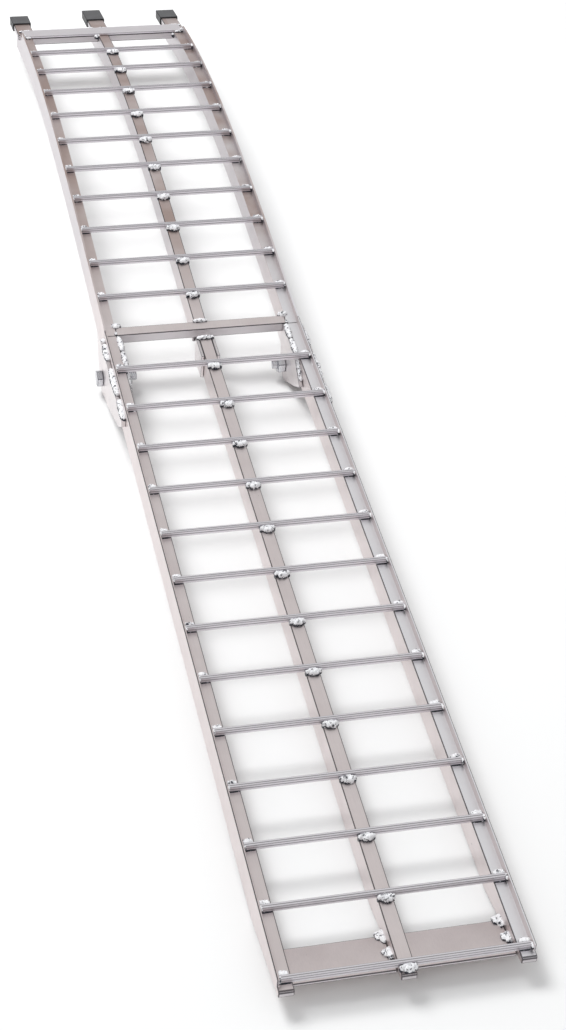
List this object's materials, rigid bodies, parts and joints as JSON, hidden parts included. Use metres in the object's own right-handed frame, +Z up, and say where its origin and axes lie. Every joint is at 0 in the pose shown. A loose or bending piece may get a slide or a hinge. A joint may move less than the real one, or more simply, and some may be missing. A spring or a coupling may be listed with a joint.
{
  "type": "folding loading ramp",
  "caption": "Arched ladder-style loading ramp of aluminium tube and bar that folds in half on a hinge, with rubber-capped fingers for a tailgate.",
  "frame": {"origin": "middle of the ramp's outline at the floor, with the ramp open and standing on its ground-end heels and the round bottoms of its hinge plates", "axes": "+Z up, +Y along the ramp towards the tailgate end, +X across it, to the right for someone who faces the tailgate"},
  "size_m": [0.3366, 2.3572, 0.1392],
  "materials": {
    "rail_aluminium": "extruded mill finish, fine lengthwise lines, light scuffs",
    "rung_aluminium": "extruded mill finish bar, slightly cool",
    "plate_aluminium": "cut and brushed plate with bright welds",
    "bolt_steel": "bright zinc plated",
    "cap_rubber": "matte moulded rubber"
  },
  "bodies": {
    "lower_section": {"lower_rail_left": "rail_aluminium", "lower_rail_center": "rail_aluminium", "lower_rail_right": "rail_aluminium", "lower_rung_01": "rung_aluminium", "lower_rung_02": "rung_aluminium", "lower_rung_03": "rung_aluminium", "lower_rung_04": "rung_aluminium", "lower_rung_05": "rung_aluminium", "lower_rung_06": "rung_aluminium", "lower_rung_07": "rung_aluminium", "lower_rung_08": "rung_aluminium", "lower_rung_09": "rung_aluminium", "lower_rung_10": "rung_aluminium", "lower_rung_11": "rung_aluminium", "lower_rung_12": "rung_aluminium", "lower_rung_13": "rung_aluminium", "ground_plate_left": "rail_aluminium", "ground_plate_right": "rail_aluminium", "center_saddle": "plate_aluminium", "hinge_plate_outer_left": "plate_aluminium", "hinge_plate_inner_left": "plate_aluminium", "hinge_bolt_left": "bolt_steel", "hinge_nut_left": "bolt_steel", "hinge_plate_outer_right": "plate_aluminium", "hinge_plate_inner_right": "plate_aluminium", "hinge_bolt_right": "bolt_steel", "hinge_nut_right": "bolt_steel"},
    "upper_section": {"upper_rail_left": "rail_aluminium", "upper_rail_center": "rail_aluminium", "upper_rail_right": "rail_aluminium", "upper_rung_01": "rung_aluminium", "upper_rung_02": "rung_aluminium", "upper_rung_03": "rung_aluminium", "upper_rung_04": "rung_aluminium", "upper_rung_05": "rung_aluminium", "upper_rung_06": "rung_aluminium", "upper_rung_07": "rung_aluminium", "upper_rung_08": "rung_aluminium", "upper_rung_09": "rung_aluminium", "upper_rung_10": "rung_aluminium", "hinge_tongue_left": "plate_aluminium", "hinge_tongue_right": "plate_aluminium", "hinge_cross_bar": "rail_aluminium", "top_plate": "rung_aluminium", "top_cross_bar_left": "rail_aluminium", "top_cross_bar_right": "rail_aluminium", "finger_left": "rail_aluminium", "finger_center": "rail_aluminium", "finger_right": "rail_aluminium", "finger_cap_left": "cap_rubber", "finger_cap_center": "cap_rubber", "finger_cap_right": "cap_rubber"}
  },
  "joints": [
    {"name": "middle_hinge", "type": "hinge", "parent": "lower_section", "child": "upper_section", "pos_m": [0, 0.02823, 0.0285], "axis": [-1, 0, 0], "range_deg": [0, 178]}
  ]
}
